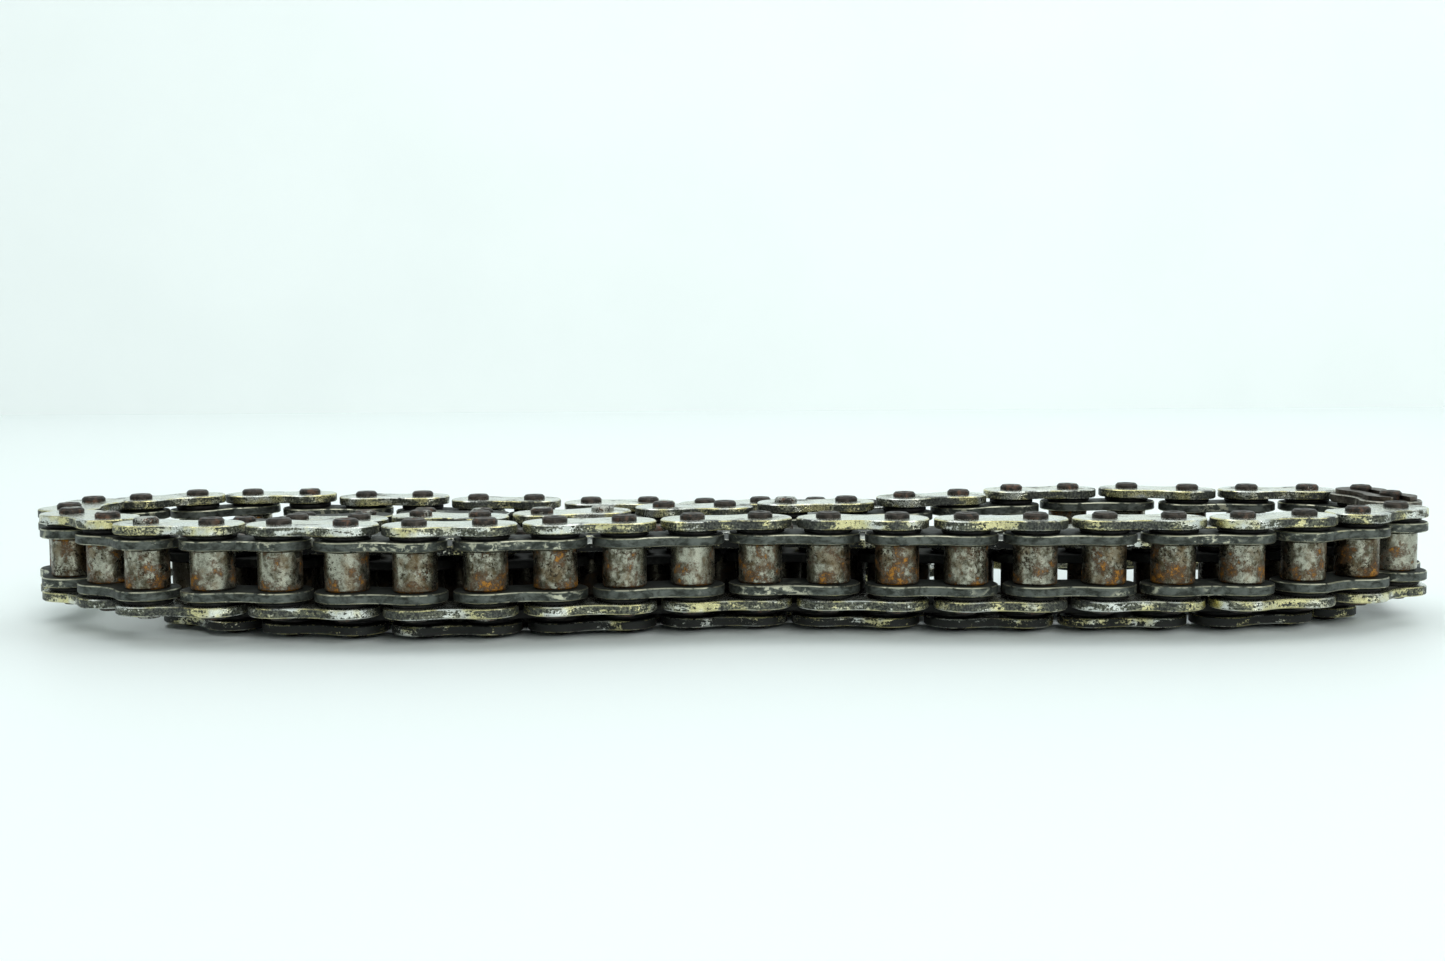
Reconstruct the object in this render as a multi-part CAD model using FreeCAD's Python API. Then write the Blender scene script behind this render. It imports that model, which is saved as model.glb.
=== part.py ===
"""A used O-ring roller chain, endless, lying on its side and folded into a flat pile.

Millimetres, +Z up.  The pins stand upright.  The front run lies along X at low Y, and the
folds lie behind it.  The origin is the middle of the pile's footprint, at the table.
The route is one closed line.  The pins are walked along it at exactly one pitch each.
"""
import FreeCAD, Part
import math
import os
from FreeCAD import Placement, Rotation, Vector

# ---------------------------------------------------------------- driving dimensions
PITCH = 15.875          # pin to pin
LINK_COUNT = 106        # even, because inner and outer links alternate
INNER_WIDTH = 9.53      # between the two inner plates
ROLLER_D = 10.16
PIN_D = 5.30
BUSH_WALL = 1.00
PLATE_T = 2.20          # every plate
PLATE_H = 14.80         # across the round ends, inner and outer plates alike
PLATE_WAIST = 11.40     # across the narrow middle
PLATE_EDGE = 0.25       # chamfer round each plate
SEAL_GAP = 1.25         # between an inner plate and its outer plate, where a seal sits
SEAL_D = 11.40          # across a seal's rim
BUSH_PROUD = 0.45       # how far a bush stands out of its plates, inside the seals
PIN_PROUD = 1.25        # how far a pin stands out of the outer plate
PIN_CHAMFER = 0.50
HEAD_FLARE = 0.25       # how far a pin's riveted end stands past its hole, all round
PIN_DIMPLE_D = 2.20
PIN_DIMPLE_DEPTH = 0.50
ROLLER_CHAMFER = 0.35
CLIP_T = 1.00
CLIP_H = 12.40          # across the round ends of the spring clip
CLIP_WAIST = 9.40
CLIP_PIN_PROUD = 1.00   # a connecting pin above its clip
GROOVE_DEPTH = 0.55     # the clip's groove in a connecting pin

# ---------------------------------------------------------------- clearances
PIN_FIT = 0.05          # pin in bush, radial
ROLLER_FIT = 0.08       # roller on bush, radial
ROLLER_END_PLAY = 0.15  # roller to each inner plate
SEAL_PLAY = 0.05        # seal to each plate beside it, and to the bush inside it
CLIP_FIT = 0.10         # clip to groove, all round
ROW_GAP = 0.50          # between two runs that lie side by side
NEST_GAP = 0.55         # between a plate and the roller of the run that it lies in
LAYER_GAP = 0.35        # between an upper run's plate and the lower run's plate

# ---------------------------------------------------------------- one link's heights
OUTER_LOW = PIN_PROUD
INNER_LOW = OUTER_LOW + PLATE_T + SEAL_GAP
TOOTH_LOW = INNER_LOW + PLATE_T
TOOTH_HIGH = TOOTH_LOW + INNER_WIDTH
OUTER_HIGH = TOOTH_HIGH + PLATE_T + SEAL_GAP
PIN_TOP = OUTER_HIGH + PLATE_T + PIN_PROUD
CLIP_LOW = OUTER_HIGH + PLATE_T + CLIP_FIT
PIN_R = PIN_D / 2
BUSH_BORE_R = PIN_R + PIN_FIT
BUSH_R = BUSH_BORE_R + BUSH_WALL
ROLLER_R = ROLLER_D / 2
PLATE_R = PLATE_H / 2

# ---------------------------------------------------------------- how the runs lie
ROW = PLATE_H + ROW_GAP                      # two runs side by side on one level
NEST = PLATE_R + ROLLER_R + NEST_GAP         # two runs with their plates between each other
LIFT = TOOTH_LOW - OUTER_LOW + LAYER_GAP     # how high a nested upper run lies

UPPER = 1.0     # a run's height on the route, as a share of LIFT
TABLE = 0.0

# Links and pins are counted along the route from the front run's left-hand pin.  Link k lies
# between pins k and k + 1.  Even links are outer links, odd ones inner.
STATIC_RUNS = {
    "front": range(0, 15),
    "back": list(range(28, 42)) + list(range(92, LINK_COUNT)),
    "lower": range(42, 92),
}
SWING_LINKS = {15: "front", 16: "front", 17: "front", 25: "back", 26: "back", 27: "back"}
END_LINKS = range(18, 25)       # the right-hand end of the loop, which moves as one
CLIP_LINK = 22                  # the connecting link with its spring clip
SINGLE_ROLLERS = range(12, 29)  # each in a node of its own, because it spins in the model
FOLD_X_RANGE = (0.9, 5.0)   # where the middle fold's tip may lie, in pitches


def sway(x):
    """The slow S that the front runs share, as a share of ROW, for x in pitches."""
    knots = ((-8.4, 0.07), (-6.4, -0.16), (-4.3, -0.40), (-2.4, -0.14), (0.6, 0.33), (2.6, 0.13), (4.3, 0.0))
    if x <= knots[0][0]:
        return knots[0][1]
    for (x0, y0), (x1, y1) in zip(knots, knots[1:]):
        if x <= x1:
            t = (x - x0) / (x1 - x0)
            return y0 + (y1 - y0) * t * t * (3 - 2 * t)
    return 0.0


def route_points(fold_x):
    """The closed route as (x, y, height) points.  fold_x places the middle fold's tip.

    x is in pitches, y in rows and height in lifts, so the pile keeps its order at other sizes.
    The first point is the front run's first pin.
    """
    nest = NEST / ROW
    front = [(-9.93, 1.37, 1.05), (-9.14, 0.70, 1.02)]
    front += [(x, sway(x), UPPER) for x in (-8.4, -6.4, -4.3, -2.4, -0.9, 0.6, 2.6, 4.3)]
    right_end = [(7.57, 0.0, UPPER), (8.55, 0.26, UPPER), (9.46, 0.66, UPPER), (10.25, 1.30, UPPER),
                 (10.52, 2.30, 1.03), (10.42, 3.31, 1.04), (9.80, 4.12, 1.03)]
    back = [(9.0, 4.19, 1.03), (7.75, 4.19, 1.04), (6.98, 4.54, 1.04), (5.75, 4.54, 1.04), (4.95, 4.40, 1.00),
            (3.05, 3.70, 0.88), (2.0, 3.47, 0.81), (-0.95, 3.27, 0.62), (-1.95, 3.17, 0.555),
            (-2.87, 2.85, 0.49), (-3.87, 2.84, 0.43), (-4.85, 3.03, 0.365), (-5.85, 3.03, 0.30),
            (-6.90, 3.02, 0.235)]
    left_inner_fold = [(-7.36, 2.45, 0.195), (-6.94, 1.97, 0.165)]
    under = [(x, nest + 1.02 + sway(x), z) for x, z in ((-6.4, 0.125), (-5.35, 0.07), (-4.3, 0.02))]
    under += [(x, nest + 1.02 + sway(x), TABLE) for x in (-2.4, 0.6, 2.6)]
    under += [(4.6, 2.02, TABLE), (6.6, 2.28, TABLE), (8.0, 2.45, TABLE)]
    right_inner_fold = [(9.14, 2.62, TABLE), (9.56, 2.08, TABLE), (9.20, 1.55, TABLE), (8.53, 1.17, TABLE)]
    low_front = [(7.7, nest + 0.06, TABLE), (6.6, nest, TABLE), (4.3, nest, TABLE)]
    low_front += [(x, nest + sway(x), TABLE) for x in (2.6, 0.6, -2.4, -4.3)]
    low_front += [(-6.4, nest + 0.02 + sway(-6.4), TABLE)]
    left_middle_fold = [(-7.00, 0.93, TABLE), (-7.75, 1.20, TABLE), (-8.30, 1.95, TABLE),
                        (-8.38, 2.85, TABLE), (-7.75, 3.72, TABLE)]
    middle = [(-6.85, 4.14, 0.03), (-6.0, 4.36, 0.08), (-5.0, 4.50, 0.10), (-3.4, 4.28, 0.06),
              (-1.2, 4.28, TABLE), (0.0, 4.36, TABLE)]
    middle_fold = [(fold_x - 0.80, 4.50, 0.02), (fold_x - 0.10, 4.80, 0.06), (fold_x - 0.05, 5.45, 0.10),
                   (fold_x - 0.80, 5.84, 0.15)]
    back_left = [(-0.1, 5.50, 0.215), (-1.2, 5.29, 0.29), (-3.3, 5.36, 0.425), (-5.3, 5.58, 0.56),
                 (-7.3, 5.62, 0.69), (-8.28, 5.60, 0.755), (-9.06, 4.97, 0.82), (-9.81, 4.30, 0.885)]
    left_end = [(-10.30, 3.38, 0.95), (-10.32, 2.33, 1.01)]
    return (front + right_end + back + left_inner_fold + under + right_inner_fold + low_front
            + left_middle_fold + middle + middle_fold + back_left + left_end)


# ---------------------------------------------------------------- walking the route
def knot_slopes(t, v):
    """Slopes of a smooth line that never overshoots its points.  t and v are closed."""
    n = len(v) - 1
    h = [t[i + 1] - t[i] for i in range(n)]
    d = [(v[i + 1] - v[i]) / h[i] for i in range(n)]
    slopes = []
    for i in range(n):
        a, b = d[i - 1], d[i]
        if a * b <= 0:
            slopes.append(0.0)
            continue
        wa, wb = 2 * h[i] + h[i - 1], h[i] + 2 * h[i - 1]
        slopes.append((wa + wb) / (wa / a + wb / b))
    return slopes + [slopes[0]]


class Route:
    """A closed smooth line through points, with its height."""

    def __init__(self, points):
        closed = points + points[:1]
        self.values = [[p[axis] for p in closed] for axis in range(3)]
        self.t = [0.0]
        for a, b in zip(closed, closed[1:]):
            self.t.append(self.t[-1] + math.hypot(b[0] - a[0], b[1] - a[1]))
        self.slopes = [knot_slopes(self.t, v) for v in self.values]
        self.length = self.t[-1]

    def at(self, t):
        t = t % self.length
        i = max(k for k in range(len(self.t) - 1) if self.t[k] <= t)
        h = self.t[i + 1] - self.t[i]
        s = (t - self.t[i]) / h
        point = []
        for v, m in zip(self.values, self.slopes):
            point.append((1 + 2 * s) * (1 - s) ** 2 * v[i] + s * (1 - s) ** 2 * h * m[i]
                         + s * s * (3 - 2 * s) * v[i + 1] + s * s * (s - 1) * h * m[i + 1])
        return point

    def step(self, t, length):
        """The next place along the line that is one chord away from the place t."""
        x, y, _ = self.at(t)
        low, high = t + 0.5 * length, t + 2.0 * length
        for _ in range(40):
            mid = (low + high) / 2
            mx, my, _ = self.at(mid)
            if math.hypot(mx - x, my - y) < length:
                low = mid
            else:
                high = mid
        return (low + high) / 2


def build_route(fold_x):
    return Route([(x * PITCH, y * ROW, z * LIFT) for x, y, z in route_points(fold_x)])


def walk(route):
    """The pins' places along the route, the first one again at the end."""
    places = [0.0]
    for _ in range(LINK_COUNT):
        places.append(route.step(places[-1], PITCH))
    return places


def closed_walk():
    """Moves the hidden middle fold until the last link ends exactly on the first pin."""
    near, far = FOLD_X_RANGE
    for _ in range(40):
        fold_x = (near + far) / 2
        route = build_route(fold_x)
        places = walk(route)
        if places[-1] > route.length:
            near = fold_x
        else:
            far = fold_x
    return route, places


# ---------------------------------------------------------------- shapes of the pieces
def link_outline(end_r, waist, z):
    """A figure-of-eight outline round two pin centres one pitch apart, the first at the origin."""
    half = PITCH / 2
    hollow_r = ((waist / 2) ** 2 + half ** 2 - end_r ** 2) / (2 * (end_r - waist / 2))
    hollow_y = waist / 2 + hollow_r
    touch = end_r / (end_r + hollow_r)
    tx, ty = half * touch, hollow_y * touch

    def at(x, y):
        return Vector(x, y, z)

    arcs = [
        Part.Arc(at(tx, ty), at(-end_r, 0), at(tx, -ty)),
        Part.Arc(at(tx, -ty), at(half, -waist / 2), at(PITCH - tx, -ty)),
        Part.Arc(at(PITCH - tx, -ty), at(PITCH + end_r, 0), at(PITCH - tx, ty)),
        Part.Arc(at(PITCH - tx, ty), at(half, waist / 2), at(tx, ty)),
    ]
    return Part.Face(Part.Wire([arc.toShape() for arc in arcs]))


def drilled(solid, hole_r):
    """The solid with a hole on each of the link's two pin lines."""
    box = solid.BoundBox
    for x in (0, PITCH):
        solid = solid.cut(Part.makeCylinder(hole_r, 3 * box.ZLength, Vector(x, 0, box.ZMin - box.ZLength)))
    return solid


def plate(hole_r):
    """A plate with its round edges broken, lying on the plane z = 0."""
    blank = link_outline(PLATE_R, PLATE_WAIST, 0).extrude(Vector(0, 0, PLATE_T))
    flat_edges = [e for e in blank.Edges if abs(e.BoundBox.ZLength) < PLATE_EDGE]
    return drilled(blank.makeChamfer(PLATE_EDGE, flat_edges), hole_r)


def turned(profile):
    """A solid of revolution about Z from a closed (r, z) outline."""
    points = [Vector(r, 0, z) for r, z in profile]
    face = Part.Face(Part.makePolygon(points + points[:1]))
    return face.revolve(Vector(0, 0, 0), Vector(0, 0, 1), 360)


def pin_ends(top, end_r):
    """The two ends of a pin's (r, z) outline, from and to its axis.  end_r is their radius."""
    dimple_r = PIN_DIMPLE_D / 2
    low = [(0, PIN_DIMPLE_DEPTH), (dimple_r, 0), (end_r - PIN_CHAMFER, 0), (end_r, PIN_CHAMFER)]
    high = [(r, top - z) for r, z in reversed(low)]
    return low, high


def riveted_pin():
    """A pin whose ends are pressed wider than its hole, down to the plate."""
    head_r = PIN_R + HEAD_FLARE
    low, high = pin_ends(PIN_TOP, head_r)
    neck = [(head_r, OUTER_LOW), (PIN_R, OUTER_LOW)]
    return turned(low + neck + [(r, PIN_TOP - z) for r, z in reversed(neck)] + high)


def clip_pin():
    """A connecting pin: longer, with a groove for the spring clip."""
    groove_low = OUTER_HIGH + PLATE_T
    groove_high = groove_low + CLIP_T + 2 * CLIP_FIT
    groove_r = PIN_R - GROOVE_DEPTH
    low, high = pin_ends(groove_high + CLIP_PIN_PROUD, PIN_R)
    groove = [(PIN_R, groove_low), (groove_r, groove_low), (groove_r, groove_high), (PIN_R, groove_high)]
    return turned(low + groove + high)


def bush():
    low = INNER_LOW - BUSH_PROUD
    high = TOOTH_HIGH + PLATE_T + BUSH_PROUD
    return turned([(BUSH_BORE_R, low), (BUSH_R, low), (BUSH_R, high), (BUSH_BORE_R, high)])


def roller():
    bore_r = BUSH_R + ROLLER_FIT
    low = TOOTH_LOW + ROLLER_END_PLAY
    high = TOOTH_HIGH - ROLLER_END_PLAY
    c = ROLLER_CHAMFER
    return turned([(bore_r, low), (ROLLER_R - c, low), (ROLLER_R, low + c),
                   (ROLLER_R, high - c), (ROLLER_R - c, high), (bore_r, high)])


def seal(low, high):
    """A rubber ring round a bush's end, between two plates, with a round rim."""
    low, high = low + SEAL_PLAY, high - SEAL_PLAY
    half = (high - low) / 2
    bore_r = BUSH_R + SEAL_PLAY
    rim_r = SEAL_D / 2
    corners = [Vector(rim_r - half, 0, low), Vector(bore_r, 0, low), Vector(bore_r, 0, high),
               Vector(rim_r - half, 0, high)]
    edges = [Part.LineSegment(a, b).toShape() for a, b in zip(corners, corners[1:])]
    edges.append(Part.Arc(corners[3], Vector(rim_r, 0, low + half), corners[0]).toShape())
    return Part.Face(Part.Wire(edges)).revolve(Vector(0, 0, 0), Vector(0, 0, 1), 360)


def spring_clip():
    """A flat spring clip, closed round the second pin and open past the first."""
    groove_r = PIN_R - GROOVE_DEPTH + CLIP_FIT
    blank = link_outline(CLIP_H / 2, CLIP_WAIST, CLIP_LOW).extrude(Vector(0, 0, CLIP_T))
    slot = Part.makeBox(PITCH + CLIP_H, 2 * groove_r, 3 * CLIP_T, Vector(-CLIP_H, -groove_r, CLIP_LOW - CLIP_T))
    end = Part.makeCylinder(groove_r, 3 * CLIP_T, Vector(PITCH, 0, CLIP_LOW - CLIP_T))
    return blank.cut(slot).cut(end)


# ---------------------------------------------------------------- the chain as it lies
class Chain:
    """The pins' places and each link's height and heading."""

    def __init__(self):
        route, places = closed_walk()
        self.pins = [route.at(t)[:2] for t in places[:-1]]
        self.link_z = [route.at((a + b) / 2)[2] for a, b in zip(places, places[1:])]
        self.centre()

    def centre(self):
        """Puts the middle of the footprint at the origin and the lowest link on the table."""
        middle = []
        for axis in range(2):
            values = [p[axis] for p in self.pins]
            middle.append((min(values) + max(values)) / 2)
        self.pins = [(x - middle[0], y - middle[1]) for x, y in self.pins]
        lowest = min(self.link_z[k] for k in range(0, LINK_COUNT, 2))
        self.link_z = [z - lowest for z in self.link_z]

    def pin(self, k):
        return self.pins[k % LINK_COUNT]

    def heading(self, k):
        (x0, y0), (x1, y1) = self.pin(k), self.pin(k + 1)
        return math.degrees(math.atan2(y1 - y0, x1 - x0))

    def on_link(self, shape, k, z=0.0):
        """A copy of the shape in link k's own frame: X along the link from pin k."""
        x, y = self.pin(k)
        turn = Rotation(Vector(0, 0, 1), self.heading(k))
        return placed(shape, Vector(x, y, self.link_z[k] + z), turn)

    def on_pin(self, shape, pin, link):
        """A copy of the shape round a pin, at the height of the link that holds it."""
        x, y = self.pin(pin)
        turn = Rotation(Vector(0, 0, 1), self.heading(link))
        return placed(shape, Vector(x, y, self.link_z[link]), turn)


def placed(shape, place, turn):
    copy = shape.copy()
    copy.Placement = Placement(place, turn).multiply(shape.Placement)
    return copy


def outer_link_of(pin):
    return (pin - pin % 2) % LINK_COUNT


def inner_link_of(pin):
    return (pin - 1 + pin % 2) % LINK_COUNT


def plates(chain, shape, links, low, high):
    return [chain.on_link(shape, k, z) for k in links for z in (low, high)]


def pins_of(links):
    return [pin for k in links for pin in (k, k + 1)]


def seals(chain, outer_links):
    """Two rings to a pin, each filling the gap that its two links leave there."""
    rings = []
    for pin in pins_of(outer_links):
        outer = chain.link_z[outer_link_of(pin)]
        inner = chain.link_z[inner_link_of(pin % LINK_COUNT)]
        slip = inner - outer
        x, y = chain.pin(pin)
        for low, high in ((OUTER_LOW + PLATE_T, INNER_LOW + slip),
                          (TOOTH_HIGH + PLATE_T + slip, OUTER_HIGH)):
            rings.append(placed(seal(low, high), Vector(x, y, outer), Rotation()))
    return rings


def save(name, solids):
    Part.makeCompound(solids).exportStep("parts/%s.step" % name)


def main():
    os.makedirs("parts", exist_ok=True)
    chain = Chain()
    outer_plate = plate(PIN_R)
    inner_plate = plate(BUSH_R)
    pin_shape, bush_shape, roller_shape = riveted_pin(), bush(), roller()

    def outer_plates(links):
        return plates(chain, outer_plate, links, OUTER_LOW, OUTER_HIGH)

    def inner_plates(links):
        return plates(chain, inner_plate, links, INNER_LOW, TOOTH_HIGH)

    def pins(links):
        return [chain.on_pin(pin_shape, p, outer_link_of(p)) for p in pins_of(links)]

    def bushes(links):
        return [chain.on_pin(bush_shape, p, k) for k in links for p in (k, k + 1)]

    def roller_on(pin):
        return chain.on_pin(roller_shape, pin, inner_link_of(pin))

    for run, links in STATIC_RUNS.items():
        outer = [k for k in links if k % 2 == 0]
        inner = [k for k in links if k % 2 == 1]
        save(run + "_run_outer_plates", outer_plates(outer))
        save(run + "_run_inner_plates", inner_plates(inner))
        save(run + "_run_pins", pins(outer))
        save(run + "_run_bushes", bushes(inner))
        save(run + "_run_seals", seals(chain, outer))
        save(run + "_run_rollers", [roller_on(p) for p in pins_of(inner) if p not in SINGLE_ROLLERS])

    for k, side in SWING_LINKS.items():
        name = "%s_link_%d_" % (side, k)
        if k % 2:
            save(name + "plates", inner_plates([k]))
            save(name + "bushes", bushes([k]))
        else:
            save(name + "plates", outer_plates([k]))
            save(name + "pins", pins([k]))
            save(name + "seals", seals(chain, [k]))

    end_outer = [k for k in END_LINKS if k % 2 == 0 and k != CLIP_LINK]
    end_inner = [k for k in END_LINKS if k % 2 == 1]
    save("end_outer_plates", outer_plates(end_outer))
    save("end_inner_plates", inner_plates(end_inner))
    save("end_pins", pins(end_outer))
    save("end_bushes", bushes(end_inner))
    save("end_seals", seals(chain, end_outer))

    save("connecting_back_plate", [chain.on_link(outer_plate, CLIP_LINK, OUTER_LOW)])
    save("connecting_cover_plate", [chain.on_link(outer_plate, CLIP_LINK, OUTER_HIGH)])
    save("connecting_pins", [chain.on_pin(clip_pin(), p, CLIP_LINK) for p in pins_of([CLIP_LINK])])
    save("connecting_seals", seals(chain, [CLIP_LINK]))
    save("spring_clip", [chain.on_link(spring_clip(), CLIP_LINK)])

    for pin in SINGLE_ROLLERS:
        save("roller_%d" % pin, [roller_on(pin)])


main()
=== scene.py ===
# %% [markdown]
# # A used roller chain, folded into a flat pile
#
# The chain lies on its side, so every pin stands upright. The engineering model already holds
# each plate, pin, bush, seal and roller at its true size. Here we give the pieces their looks:
# worn plating, grime, rust and old grease, and we set up the table, the light and the camera.

# %% Load the fixed frame
import math

import bpy
from mathutils import Matrix, Vector

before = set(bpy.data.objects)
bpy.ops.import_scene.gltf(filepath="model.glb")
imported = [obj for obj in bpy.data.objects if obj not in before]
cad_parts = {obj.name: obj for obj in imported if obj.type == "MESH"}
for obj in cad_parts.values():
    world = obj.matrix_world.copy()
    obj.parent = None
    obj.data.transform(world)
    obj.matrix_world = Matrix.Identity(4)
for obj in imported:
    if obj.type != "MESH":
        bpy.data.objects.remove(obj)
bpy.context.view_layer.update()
bpy.ops.object.select_all(action="DESELECT")

# %% [markdown]
# ## The camera
#
# The eye is low and close in front of the chain, only a few degrees above it. A normal lens on a
# full-size sensor keeps the near run a little larger than the rows behind it. The camera is
# rolled by a third of a degree, as a camera held by hand is. It could be turned with three Euler
# angles, but writing out its right, up and forward directions keeps each tilt plain to read.

# %% Place the camera
SENSOR_MM = 36.0
LENS_MM = 42.35
NEAREST_DRAWN = 0.01
CAMERA_PLACE = Vector((-0.0016, -0.43000, 0.07225))
PITCH_DOWN = math.radians(5.17)
ROLL = math.radians(-0.33)


def aim_camera(camera, place, pitch, roll):
    """Points a camera along +Y, tipped down by pitch and rolled about its own axis."""
    forward = Vector((0, math.cos(pitch), -math.sin(pitch)))
    up = Vector((0, math.sin(pitch), math.cos(pitch)))
    right = Vector((1, 0, 0))
    rolled_right = math.cos(roll) * right + math.sin(roll) * up
    rolled_up = math.cos(roll) * up - math.sin(roll) * right
    turn = Matrix((rolled_right, rolled_up, -forward)).transposed().to_4x4()
    camera.matrix_world = Matrix.Translation(place) @ turn


camera_data = bpy.data.cameras.new("camera")
camera_data.sensor_width = SENSOR_MM
camera_data.lens = LENS_MM
camera_data.clip_start = NEAREST_DRAWN
camera = bpy.data.objects.new("camera", camera_data)
bpy.context.scene.collection.objects.link(camera)
aim_camera(camera, CAMERA_PLACE, PITCH_DOWN, ROLL)
bpy.context.scene.camera = camera
print("camera at", tuple(round(v, 3) for v in CAMERA_PLACE))

# %% [markdown]
# ## Short calls for shader nodes
#
# Every finish below is built from the same few nodes: noise for patches, a smooth step that turns
# noise into a mask, a mix of two colours, and a bump. The nodes could be wired one by one, but a
# small class keeps each finish short enough to read. All patterns sit on Object coordinates, so
# they stay on the piece when it moves, and nothing has to be unwrapped.

# %% A helper that builds one finish
class Finish:
    """The node tree of one material, with short calls for the nodes that every finish uses."""

    def __init__(self, name):
        self.material = bpy.data.materials.new(name)
        self.material.use_nodes = True
        self.tree = self.material.node_tree
        self.shader = self.tree.nodes["Principled BSDF"]
        self.coordinates = self.tree.nodes.new("ShaderNodeTexCoord").outputs["Object"]
        self.normal = self.tree.nodes.new("ShaderNodeNewGeometry").outputs["Normal"]

    def put(self, socket, value):
        """Links a socket to another, or sets it to a plain value."""
        if isinstance(value, bpy.types.NodeSocket):
            self.tree.links.new(value, socket)
        else:
            socket.default_value = value

    def calc(self, operation, first, second=0.0, clamp=False):
        """One Math node."""
        node = self.tree.nodes.new("ShaderNodeMath")
        node.operation = operation
        node.use_clamp = clamp
        self.put(node.inputs[0], first)
        self.put(node.inputs[1], second)
        return node.outputs[0]

    def plus(self, first, second):
        return self.calc("ADD", first, second)

    def minus(self, first, second, clamp=False):
        return self.calc("SUBTRACT", first, second, clamp)

    def times(self, first, second):
        return self.calc("MULTIPLY", first, second)

    def larger(self, first, second):
        return self.calc("MAXIMUM", first, second)

    def moved(self, stretch, shift):
        """The piece's own coordinates, stretched and shifted."""
        node = self.tree.nodes.new("ShaderNodeMapping")
        self.put(node.inputs["Vector"], self.coordinates)
        node.inputs["Scale"].default_value = stretch
        node.inputs["Location"].default_value = shift
        return node.outputs[0]

    def noise(self, scale, detail=4.0, roughness=0.6, distortion=0.0, stretch=(1, 1, 1),
              shift=(0, 0, 0)):
        """Noise from 0 to 1; scale is roughly how many patches fit in a metre."""
        node = self.tree.nodes.new("ShaderNodeTexNoise")
        self.put(node.inputs["Vector"], self.moved(stretch, shift))
        node.inputs["Scale"].default_value = scale
        node.inputs["Detail"].default_value = detail
        node.inputs["Roughness"].default_value = roughness
        node.inputs["Distortion"].default_value = distortion
        return node.outputs["Fac"]

    def step(self, value, low, high):
        """0 below low and 1 above high, smooth between; it falls when low is above high."""
        node = self.tree.nodes.new("ShaderNodeMapRange")
        node.interpolation_type = "SMOOTHSTEP"
        self.put(node.inputs["Value"], value)
        node.inputs["From Min"].default_value = min(low, high)
        node.inputs["From Max"].default_value = max(low, high)
        node.inputs["To Min"].default_value = 0.0 if low < high else 1.0
        node.inputs["To Max"].default_value = 1.0 if low < high else 0.0
        return node.outputs[0]

    def opaque(self, colour):
        """A colour that comes from a node as it is, or a plain colour with full alpha."""
        return colour if isinstance(colour, bpy.types.NodeSocket) else (*colour, 1)

    def mix(self, mask, first, second):
        """A colour that goes from first to second with the mask."""
        node = self.tree.nodes.new("ShaderNodeMix")
        node.data_type = "RGBA"
        self.put(node.inputs[0], mask)
        self.put(node.inputs[6], self.opaque(first))
        self.put(node.inputs[7], self.opaque(second))
        return node.outputs[2]

    def blend(self, mask, first, second):
        """A number that goes from first to second with the mask."""
        node = self.tree.nodes.new("ShaderNodeMix")
        node.data_type = "FLOAT"
        self.put(node.inputs[0], mask)
        self.put(node.inputs[2], first)
        self.put(node.inputs[3], second)
        return node.outputs[0]

    def part(self, vector, axis):
        """One component of a vector."""
        node = self.tree.nodes.new("ShaderNodeSeparateXYZ")
        self.put(node.inputs[0], vector)
        return node.outputs[axis]

    def flatness(self):
        """How far a face looks up or down: 1 on a flat top, 0 on an upright side."""
        return self.calc("ABSOLUTE", self.part(self.normal, "Z"))

    def relief(self, height, depth, strength):
        """Small bumps, at most depth metres high."""
        node = self.tree.nodes.new("ShaderNodeBump")
        node.inputs["Strength"].default_value = strength
        node.inputs["Distance"].default_value = depth
        self.put(node.inputs["Height"], height)
        self.put(self.shader.inputs["Normal"], node.outputs[0])

    def finish(self, colour, roughness, metallic, specular=0.5):
        """Connects the finish to the shader and hands back the material."""
        self.put(self.shader.inputs["Base Color"], colour)
        self.put(self.shader.inputs["Roughness"], roughness)
        self.put(self.shader.inputs["Metallic"], metallic)
        self.put(self.shader.inputs["Specular IOR Level"], specular)
        return self.material


def dress(objects, material):
    """Gives every object one material on all its slots."""
    for obj in objects:
        obj.data.materials.clear()
        obj.data.materials.append(material)


print("helpers ready")

# %% [markdown]
# ## Outer plates
#
# The outer plates were plated in a pale gold. Years of use have polished their top faces to a
# silver white, while the edges are caked with dark grime that has chipped off in patches. The
# chamfer round each plate is rubbed bright, and that brightness is also a painted highlight. The
# plates of the lower run are painted far darker: partly more grime, partly painted shade, as they
# lie under the upper runs. A painted image could hold these marks, but it would repeat on every
# plate. So we tell faces, edges and chamfers apart by how steep they are, and let noise at three
# scales decide where the grime still sticks.

# %% Worn plating for the outer plates
PALE_STEEL = (0.64, 0.655, 0.61)
CREAM_PLATING = (0.60, 0.55, 0.28)
OLIVE_FILM = (0.115, 0.118, 0.086)
BROWN_STAIN = (0.13, 0.10, 0.065)
GRIME = (0.012, 0.013, 0.011)
DULL_GRIME = (0.070, 0.075, 0.062)
FLAT = (0.86, 0.97)         # a face this flat or flatter is a top or an underside
UPRIGHT = (0.45, 0.10)      # a face this steep or steeper is a side
PLATE_RELIEF = 0.00012


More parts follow.
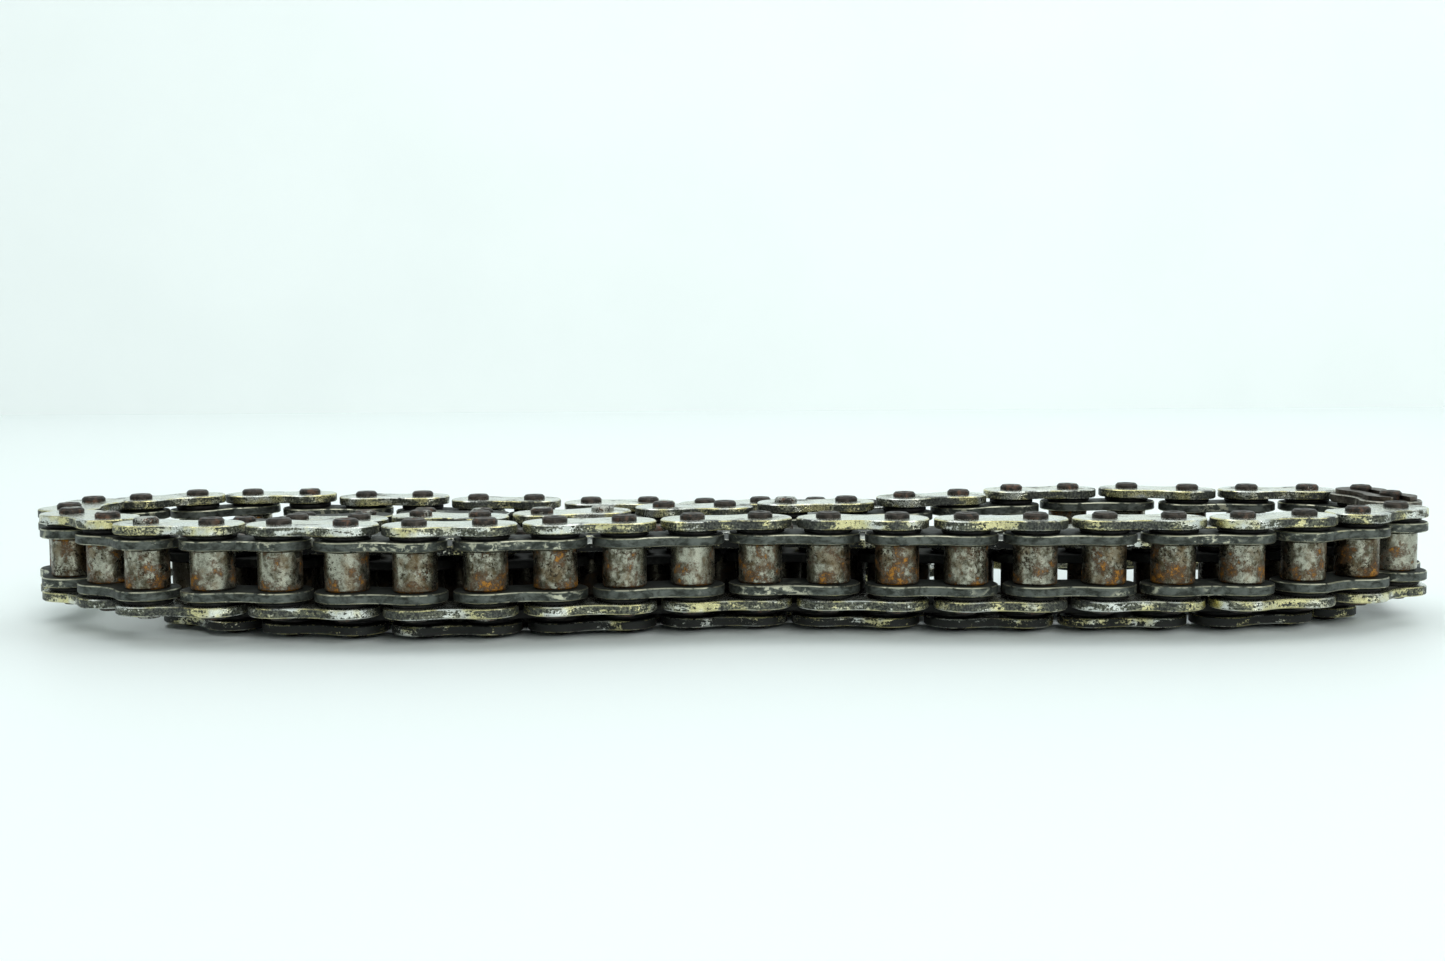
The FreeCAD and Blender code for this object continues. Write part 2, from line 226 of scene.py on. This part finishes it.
def outer_plate_finish(name, face_wear, edge_wear, film=1.0):
    """Plating over grime.

    The wear values are the levels of noise above which plating shows on the flat faces and on the
    edges. The film is how much dusty film lies over the grime, from 0 to 1.
    """
    f = Finish(name)
    broad = f.noise(95, 3, 0.55, 0.4)
    patches = f.noise(300, 8, 0.72, 0.2, (0.45, 0.45, 1.4))
    specks = f.noise(1900, 5, 0.66)
    scratches = f.noise(900, 3, 0.6, 0.0, (0.16, 1, 1))
    flat = f.flatness()
    is_face = f.step(flat, *FLAT)
    is_side = f.step(flat, *UPRIGHT)
    height = f.plus(f.times(broad, 0.40), f.times(patches, 0.60))
    height = f.plus(height, f.times(f.minus(specks, 0.5), 0.30))
    face_clean = f.step(height, face_wear - 0.07, face_wear + 0.03)
    side_clean = f.step(height, edge_wear - 0.008, edge_wear + 0.018)
    # Chamfers show plating sooner than faces and sides: rubbed wear, and also a painted highlight
    # along each rim.
    rim_clean_and_highlight = f.step(height, edge_wear - 0.12, edge_wear - 0.05)
    clean = f.blend(is_side, rim_clean_and_highlight, side_clean)
    clean = f.blend(is_face, clean, face_clean)
    side_film = f.times(f.step(height, edge_wear - 0.075, edge_wear - 0.03), film)
    gold = f.step(f.noise(160, 3, 0.5, 0, (1, 1, 1), (3, 1, 2)), 0.40, 0.58)
    gold = f.times(gold, f.blend(is_face, 0.95, 0.25))
    plating = f.mix(gold, PALE_STEEL, CREAM_PLATING)
    stain = f.step(f.noise(420, 6, 0.7, 0.3, (1, 1, 1), (7, 3, 0)), 0.52, 0.70)
    plating = f.mix(f.times(stain, 0.55), plating, BROWN_STAIN)
    scratch = f.step(scratches, 0.60, 0.72)
    plating = f.mix(f.times(scratch, 0.35), plating, DULL_GRIME)
    dirt = f.mix(f.times(f.step(specks, 0.42, 0.62), film), GRIME, DULL_GRIME)
    dirt = f.mix(f.times(side_film, f.step(specks, 0.36, 0.50)), dirt, OLIVE_FILM)
    colour = f.mix(clean, dirt, plating)
    bare_rough = f.blend(f.step(specks, 0.35, 0.65), 0.15, 0.30)
    rough = f.blend(clean, f.blend(side_film, 0.55, 0.36), bare_rough)
    metal = f.blend(clean, f.blend(side_film, 0.30, 0.80), 0.96)
    bumps = f.plus(f.times(clean, -0.4), f.times(height, 1.2))
    f.relief(bumps, PLATE_RELIEF, 0.6)
    return f.finish(colour, rough, metal)


upper_outer = [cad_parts[n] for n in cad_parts
               if n.endswith("outer_plates") and not n.startswith("lower")]
upper_outer += [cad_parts["front_link_16_plates"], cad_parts["back_link_26_plates"]]
dress(upper_outer, outer_plate_finish("outer_plate_worn", 0.450, 0.518))
# The lower run lies under the upper runs, so its plates show less plating and almost no film:
# partly more grime, partly painted shade.
dress([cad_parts["lower_run_outer_plates"]],
      outer_plate_finish("outer_plate_grimy_and_shaded", 0.60, 0.562, film=0.05))
print("outer plates dressed:", len(upper_outer) + 1)

# %% [markdown]
# ## Inner plates
#
# The inner plates are dark, oiled steel. Only their rims are rubbed to thin light lines, which are
# also a painted highlight, and here and there a patch of the old plating is left. Their flat faces
# are painted near black. The rims could be marked by hand, but the chamfer is the only face that
# is neither flat nor upright, so its slope alone finds it. Down in the lower run the inner plates
# are near black all over, partly caked oil and partly painted shade, as they lie under the upper
# runs, and get a simpler finish.

# %% Dark oiled steel for the inner plates
GUNMETAL = (0.105, 0.115, 0.103)
DARK_OIL = (0.028, 0.031, 0.026)
FLAT_FACE_BLACK = (0.011, 0.012, 0.010)
RUBBED_RIM_AND_HIGHLIGHT = (0.50, 0.49, 0.37)
CAKE_AND_SHADE_BLACK = (0.006, 0.006, 0.005)
CAKE_AND_SHADE_GREY = (0.022, 0.022, 0.018)


def inner_plate_finish(name, patch_level):
    """Dark steel with near black flat faces, and rubbed rims that are also a painted highlight.
    Old plating is left where broad noise is above patch_level.
    """
    f = Finish(name)
    broad = f.noise(60, 2, 0.5, 0.2)
    patches = f.noise(380, 6, 0.66, 0.4, (1, 1, 1.6))
    grain = f.noise(2300, 3, 0.6)
    flat = f.flatness()
    is_face = f.step(flat, *FLAT)
    is_side = f.step(flat, *UPRIGHT)
    is_rim = f.minus(f.minus(1.0, is_face), is_side, clamp=True)
    body = f.mix(f.step(patches, 0.36, 0.62), DARK_OIL, GUNMETAL)
    body = f.mix(f.times(f.step(grain, 0.55, 0.72), 0.35), body, DULL_GRIME)
    bare = f.times(f.step(patches, 0.52, 0.58),
                   f.step(broad, patch_level, patch_level + 0.05))
    # Light lines on the chamfers: rubbed wear, and also a painted highlight along each rim.
    rubbed = f.times(is_rim,
                     f.step(f.noise(500, 4, 0.6, 0, (1, 1, 1), (2, 5, 1)), 0.36, 0.52))
    bare = f.larger(f.times(bare, 0.9), rubbed)
    colour = f.mix(bare, body, RUBBED_RIM_AND_HIGHLIGHT)
    # Flat faces, which lie recessed between the outer plates and the rollers, are painted near
    # black.
    colour = f.mix(f.times(is_face, 0.8), colour, FLAT_FACE_BLACK)
    rough = f.blend(is_face, f.blend(bare, 0.44, 0.30), 0.62)
    metal = f.blend(is_face, f.blend(bare, 0.72, 0.95), 0.30)
    f.relief(f.plus(patches, f.times(grain, 0.25)), PLATE_RELIEF, 0.6)
    return f.finish(colour, rough, metal, 0.2)


LOOSE_INNER_PLATES = ("front_link_15_plates", "front_link_17_plates",
                      "back_link_25_plates", "back_link_27_plates")
inner_plates = [obj for node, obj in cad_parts.items()
                if node.endswith("inner_plates") or node in LOOSE_INNER_PLATES]
dress(inner_plates, inner_plate_finish("inner_plate_oiled", 0.56))
# The lower run's inner plates lie under the upper runs: their near black is partly caked oil,
# partly painted shade.
caked_and_shaded = Finish("inner_plate_caked_and_shaded")
caked_lumps = caked_and_shaded.noise(420, 5, 0.62, 0.3)
caked_and_shaded.relief(caked_lumps, 0.0003, 0.8)
caked_and_shaded_colour = caked_and_shaded.mix(caked_and_shaded.step(caked_lumps, 0.52, 0.66), CAKE_AND_SHADE_BLACK, CAKE_AND_SHADE_GREY)
dress([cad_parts["lower_run_inner_plates"]], caked_and_shaded.finish(caked_and_shaded_colour, 0.60, 0.0, 0.2))
print("inner plates dressed:", len(inner_plates))

# %% [markdown]
# ## Rollers
#
# A roller rubs against sprocket teeth, so it shows the most wear: mottled grey steel with dark
# freckles, and orange rust that creeps up from the lower end. Each roller could have a material of
# its own, but one finish whose broadest noise is larger than a roller already makes some of them
# pale and others brown.

# %% Rusty mottled steel for the rollers
ROLLER_STEEL = (0.37, 0.365, 0.295)
ROLLER_DULL = (0.085, 0.076, 0.050)
ROLLER_DARK = (0.034, 0.026, 0.017)
BROWN_FILM = (0.120, 0.078, 0.036)
RUST_BROWN = (0.042, 0.023, 0.012)
RUST_RED = (0.100, 0.044, 0.013)
RUST_ORANGE = (0.38, 0.165, 0.018)
UPPER_ROLLERS_Z = (0.0130, 0.0223)      # the rollers' low and high ends
LOWER_ROLLERS_Z = (0.0071, 0.0163)
END_BAND = 0.0006                       # a rusty ring at each end of a roller


def roller_finish(name, ends_z, rust_level, lit_share=1.0):
    """Pale steel with dark freckles and rust.

    Rust is heaviest at the low end and at both rims, and a lower rust_level gives more of it.
    When the last argument is below 1, shade is painted over the whole roller, for rollers that lie
    under the upper runs.
    """
    low_z, high_z = ends_z
    f = Finish(name)
    height = f.part(f.coordinates, "Z")
    lowness = f.step(height, high_z, low_z)
    end_band = f.larger(f.step(height, low_z + END_BAND, low_z),
                        f.step(height, high_z - END_BAND, high_z))
    region = f.minus(f.noise(24, 1, 0.5, 0.0, (1, 1, 0.3), (2, 9, 4)), 0.5)
    cloud = f.noise(170, 2, 0.5, 0.2)
    mottle = f.noise(520, 8, 0.68, 0.1)
    freckle = f.noise(1500, 6, 0.74, 0.1)
    grain = f.noise(3600, 3, 0.6)
    clean = f.plus(mottle, f.times(region, 0.5))
    steel = f.mix(f.step(clean, 0.36, 0.60), ROLLER_DULL, ROLLER_STEEL)
    film = f.minus(f.noise(230, 5, 0.6, 0.2, (1, 1, 0.8), (6, 6, 1)),
                   f.times(region, 0.5))
    steel = f.mix(f.times(f.step(film, 0.46, 0.62), 0.7), steel, BROWN_FILM)
    spots = f.plus(f.times(freckle, 0.75), f.times(cloud, 0.25))
    spots = f.minus(spots, f.times(region, 0.30))
    steel = f.mix(f.step(spots, 0.535, 0.585), steel, ROLLER_DARK)
    patch = f.plus(f.times(f.noise(210, 2, 0.5, 0.2, (1, 1, 1), (4, 2, 7)), 0.50),
                   f.times(f.noise(760, 8, 0.78, 0.2, (1, 1, 1), (1, 8, 3)), 0.50))
    patch = f.plus(patch, f.times(f.minus(lowness, 0.5), 0.060))
    patch = f.plus(patch, f.times(end_band, 0.07))
    brown = f.step(patch, rust_level - 0.035, rust_level + 0.03)
    orange = f.step(patch, rust_level + 0.032, rust_level + 0.092)
    fleck = f.plus(f.times(freckle, 0.6), f.times(grain, 0.4))
    crust = f.mix(f.step(fleck, 0.44, 0.62), RUST_BROWN, RUST_RED)
    bright_crust = f.mix(f.step(fleck, 0.40, 0.54), RUST_BROWN, RUST_ORANGE)
    colour = f.mix(f.times(brown, 0.85), steel, crust)
    colour = f.mix(f.times(orange, 0.9), colour, bright_crust)
    # Painted shade: the whole roller is darkened when the last argument is below 1.
    colour = f.mix(1.0 - lit_share, colour, ROLLER_DARK)
    rough = f.blend(brown, f.blend(f.step(mottle, 0.4, 0.6), 0.36, 0.22), 0.55)
    f.relief(f.plus(f.times(freckle, 0.6), f.times(brown, 0.3)), 0.00008, 0.5)
    return f.finish(colour, rough, f.blend(brown, 0.95, 0.35), 0.3)


upper_rollers = [obj for node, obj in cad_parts.items()
                 if node.startswith("roller_") or node in ("front_run_rollers", "back_run_rollers")]
dress(upper_rollers, roller_finish("roller_rusty", UPPER_ROLLERS_Z, 0.535))
# The lower run lies under the upper runs, so its rollers are painted nearly black: painted shade
# over the steel and rust.
dress([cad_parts["lower_run_rollers"]],
      roller_finish("roller_low_rusty_and_shaded", LOWER_ROLLERS_Z, 0.52, lit_share=0.15))
print("rollers dressed:", len(upper_rollers) + 1)

# %% [markdown]
# ## Pins, bushes, seals and the connecting link
#
# Pin ends are dark brown with patches of rust, and a few are rubbed to bare steel. The seals are
# black rubber. The connecting link and its spring clip are darker steel, filmed with brown oil.
# All of these are small and mostly in shade, so two or three scales of noise are enough for each.

# %% Brown pin ends
PIN_DARK = (0.014, 0.012, 0.010)
PIN_BROWN = (0.052, 0.041, 0.033)
PIN_RUST = (0.12, 0.055, 0.030)
PIN_BARE = (0.42, 0.42, 0.38)


def pin_finish(name, bare_level):
    """Brown steel, rubbed bare where broad noise is above bare_level."""
    f = Finish(name)
    cloud = f.noise(70, 2, 0.5, 0.0, (1, 1, 0.2), (5, 5, 5))
    patches = f.noise(700, 5, 0.65, 0.4)
    grain = f.noise(2600, 3, 0.6)
    colour = f.mix(f.step(patches, 0.36, 0.62), PIN_DARK, PIN_BROWN)
    rust = f.times(f.step(patches, 0.50, 0.60), f.step(cloud, 0.46, 0.56))
    colour = f.mix(f.times(rust, 0.7), colour, PIN_RUST)
    bare = f.step(f.plus(f.times(cloud, 0.8), f.times(grain, 0.2)),
                  bare_level, bare_level + 0.03)
    bare = f.times(bare, f.step(patches, 0.40, 0.52))
    colour = f.mix(bare, colour, PIN_BARE)
    f.relief(f.plus(patches, f.times(grain, 0.3)), 0.0002, 0.8)
    return f.finish(colour, f.blend(bare, 0.50, 0.32), f.blend(bare, 0.55, 0.9))


pins = [obj for node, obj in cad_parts.items() if node.endswith("pins")]
dress(pins, pin_finish("pin_brown", 0.60))
print("pins dressed:", len(pins))

# %% Black rubber seals
RUBBER_BLACK = (0.006, 0.006, 0.006)
RUBBER_GREY = (0.020, 0.019, 0.017)

seal = Finish("seal_rubber")
seal.relief(seal.noise(1500, 4, 0.6), 0.00015, 0.5)
seal_patches = seal.step(seal.noise(600, 4, 0.6), 0.45, 0.65)
seal_colour = seal.mix(seal_patches, RUBBER_BLACK, RUBBER_GREY)
seals = [obj for node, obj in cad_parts.items() if node.endswith("seals")]
dress(seals, seal.finish(seal_colour, 0.60, 0.0, 0.25))
print("seals dressed:", len(seals))

# %% Oiled bushes
BUSH_DARK = (0.03, 0.028, 0.025)
BUSH_LIGHT = (0.14, 0.135, 0.12)

bush = Finish("bush_steel")
bush_colour = bush.mix(bush.step(bush.noise(800, 5, 0.6), 0.4, 0.6), BUSH_DARK, BUSH_LIGHT)
bush.relief(bush.noise(1600, 4, 0.6), 0.0001, 0.5)
bushes = [obj for node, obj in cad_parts.items() if node.endswith("bushes")]
dress(bushes, bush.finish(bush_colour, 0.4, 0.8))
print("bushes dressed:", len(bushes))

# %% Brown oily steel for the connecting link and its clip
RIM_FROM = (0.35, 0.5)      # a rim is flatter than a side
RIM_TO = (0.95, 0.86)       # and steeper than a top face
LINK_PLATE_COLOURS = ((0.05, 0.042, 0.034), (0.17, 0.15, 0.12), (0.42, 0.40, 0.34))
CLIP_COLOURS = ((0.035, 0.028, 0.022), (0.11, 0.088, 0.068), (0.32, 0.29, 0.24))


def oily_finish(name, dark, light, bare):
    """Steel between a dark and a light brown, with bare steel here and there and on its rims.
    On the rims the bare steel is also a painted highlight.
    """
    f = Finish(name)
    patches = f.noise(420, 6, 0.66, 0.4)
    grain = f.noise(2200, 3, 0.6)
    flat = f.flatness()
    is_rim = f.times(f.step(flat, *RIM_FROM), f.step(flat, *RIM_TO))
    colour = f.mix(f.step(patches, 0.36, 0.64), dark, light)
    # Bare steel in patches, and speckled along the rims, where it is also a painted highlight.
    bare_and_rim_highlight = f.larger(f.step(patches, 0.60, 0.68),
                     f.times(is_rim, f.step(grain, 0.3, 0.6)))
    colour = f.mix(bare_and_rim_highlight, colour, bare)
    f.relief(f.plus(patches, f.times(grain, 0.3)), 0.00015, 0.7)
    return f.finish(colour, f.blend(bare_and_rim_highlight, 0.46, 0.32), 0.8)


dress([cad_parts["connecting_back_plate"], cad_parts["connecting_cover_plate"]],
      oily_finish("connecting_plate_oiled", *LINK_PLATE_COLOURS))
dress([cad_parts["spring_clip"]], oily_finish("clip_oiled", *CLIP_COLOURS))
print("connecting link dressed")

# %% [markdown]
# ## The table and the wall
#
# The chain lies on a plain white table with a white wall a metre behind it. One curved sheet could
# stand for both, but two flat ones leave the faint line where the table ends. They are only a
# stage, and aren't part of the object.

# %% Build the table and the wall
TABLE_BACK_Y = 1.03
STAGE_WIDTH = 6.0
TABLE_DEPTH = 4.0
WALL_HEIGHT = 3.0
TABLE_WHITE = (0.86, 0.90, 0.90, 1)
WALL_WHITE = (0.855, 0.885, 0.878)
WALL_SHADE = (0.83, 0.862, 0.856)


def stage_sheet(name, size, place, turn, material):
    """A flat sheet for the stage: one plane, with its place applied to its mesh."""
    bpy.ops.mesh.primitive_plane_add(size=1, location=place, rotation=turn)
    sheet = bpy.context.object
    sheet.name = name
    sheet.scale = (size[0], size[1], 1)
    bpy.ops.object.transform_apply(location=True, rotation=True, scale=True)
    sheet.data.materials.append(material)
    bpy.ops.object.select_all(action="DESELECT")
    return sheet


table_paint = Finish("table_paint")
table_paint.relief(table_paint.noise(350, 3, 0.5), 0.0002, 0.12)
table_material = table_paint.finish(TABLE_WHITE, 0.55, 0.0)
wall_paint = Finish("wall_paint")
wall_patches = wall_paint.step(wall_paint.noise(6, 3, 0.5), 0.35, 0.75)
wall_material = wall_paint.finish(wall_paint.mix(wall_patches, WALL_WHITE, WALL_SHADE), 0.9, 0.0)
stage_sheet("table", (STAGE_WIDTH, TABLE_DEPTH), (0, TABLE_BACK_Y - TABLE_DEPTH / 2, 0),
            (0, 0, 0), table_material)
stage_sheet("wall", (STAGE_WIDTH, WALL_HEIGHT), (0, TABLE_BACK_Y, WALL_HEIGHT / 2),
            (math.radians(90), 0, 0), wall_material)
print("stage built")

# %% [markdown]
# ## The light
#
# Soft light comes from a bright room: a pale blue-green surround, a large soft box above the
# chain, and a long one that brightens the wall. A smaller one stands far in front, to the right,
# and puts a highlight down each roller. Lamps without size would be simpler, but they would throw
# hard shadows.

# %% Set the light
TOP_POWER = 6.3
WALL_POWER = 9.0
FRONT_POWER = 35
TOP_COLOUR = (0.95, 1.0, 0.995)
WALL_COLOUR = (0.97, 1.0, 0.995)
FRONT_COLOUR = (0.96, 1.0, 0.985)
ROOM_COLOUR = (0.86, 0.98, 0.965, 1)
ROOM_STRENGTH = 0.43


def soft_box(name, place, target, size, power, colour):
    """An area light at place that looks at target."""
    data = bpy.data.lights.new(name, "AREA")
    data.shape = "RECTANGLE"
    data.size, data.size_y = size
    data.energy = power
    data.color = colour
    light = bpy.data.objects.new(name, data)
    light.location = place
    light.rotation_euler = (Vector(target) - Vector(place)).to_track_quat("-Z", "Y").to_euler()
    bpy.context.scene.collection.objects.link(light)
    return light


soft_box("top_box", (0.05, -0.10, 1.4), (0, 0.0, 0), (2.8, 1.8), TOP_POWER, TOP_COLOUR)
soft_box("wall_box", (0.0, 0.2, 1.6), (0, TABLE_BACK_Y, 0.35), (2.6, 0.5), WALL_POWER,
         WALL_COLOUR)
soft_box("front_box", (0.77, -2.04, 1.16), (0, 0, 0), (1.2, 0.8), FRONT_POWER, FRONT_COLOUR)
world = bpy.data.worlds.new("room")
world.use_nodes = True
background = world.node_tree.nodes["Background"]
background.inputs["Color"].default_value = ROOM_COLOUR
background.inputs["Strength"].default_value = ROOM_STRENGTH
bpy.context.scene.world = world
bpy.context.scene.view_settings.view_transform = "Standard"
print("lights set")
